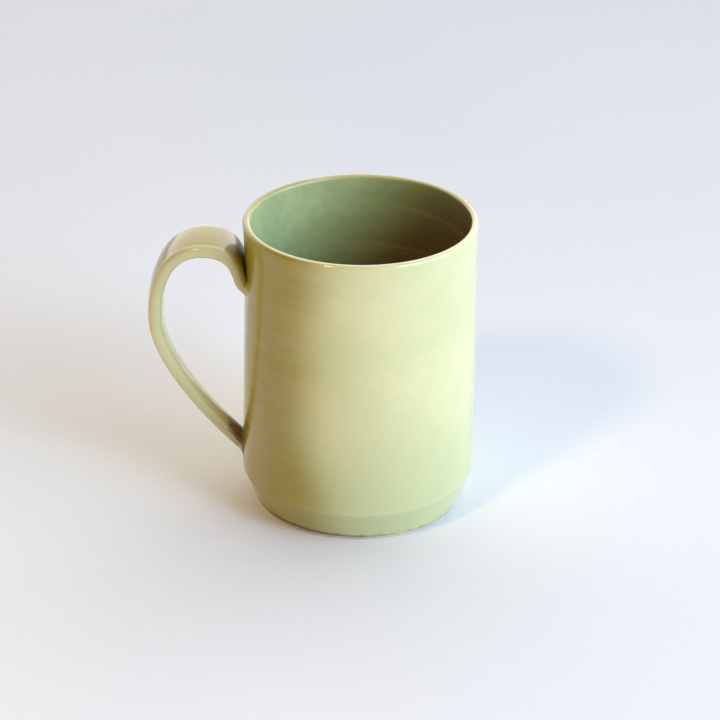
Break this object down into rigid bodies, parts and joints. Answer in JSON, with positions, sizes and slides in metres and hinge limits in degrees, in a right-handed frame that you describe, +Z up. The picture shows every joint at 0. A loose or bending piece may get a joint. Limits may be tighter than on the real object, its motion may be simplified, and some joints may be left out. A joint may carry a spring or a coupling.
{
  "type": "ceramic mug",
  "caption": "Tall straight-sided ceramic mug with a bevelled foot, rounded lip and a pulled strap handle, celadon glazed outside and in.",
  "frame": {"origin": "centre of the foot ring, on the table plane", "axes": "+Z up along the mug's axis, -X towards the handle, +Y away from a viewer who has the handle on the left"},
  "size_m": [0.1168, 0.0834, 0.108],
  "materials": {
    "clay": "bare fired stoneware, matt, seen only at the foot",
    "slip": "fired joining slip, under the glaze",
    "outer_celadon": "glossy pale yellow-green celadon, paler where it thins over edges",
    "liner_celadon": "glossy green celadon liner with faint throwing rings"
  },
  "bodies": {
    "root": {"mug_body": "clay", "handle": "clay", "upper_joint": "slip", "lower_joint": "slip", "outer_glaze": "outer_celadon", "liner_glaze": "liner_celadon", "handle_glaze": "outer_celadon"}
  },
  "joints": []
}
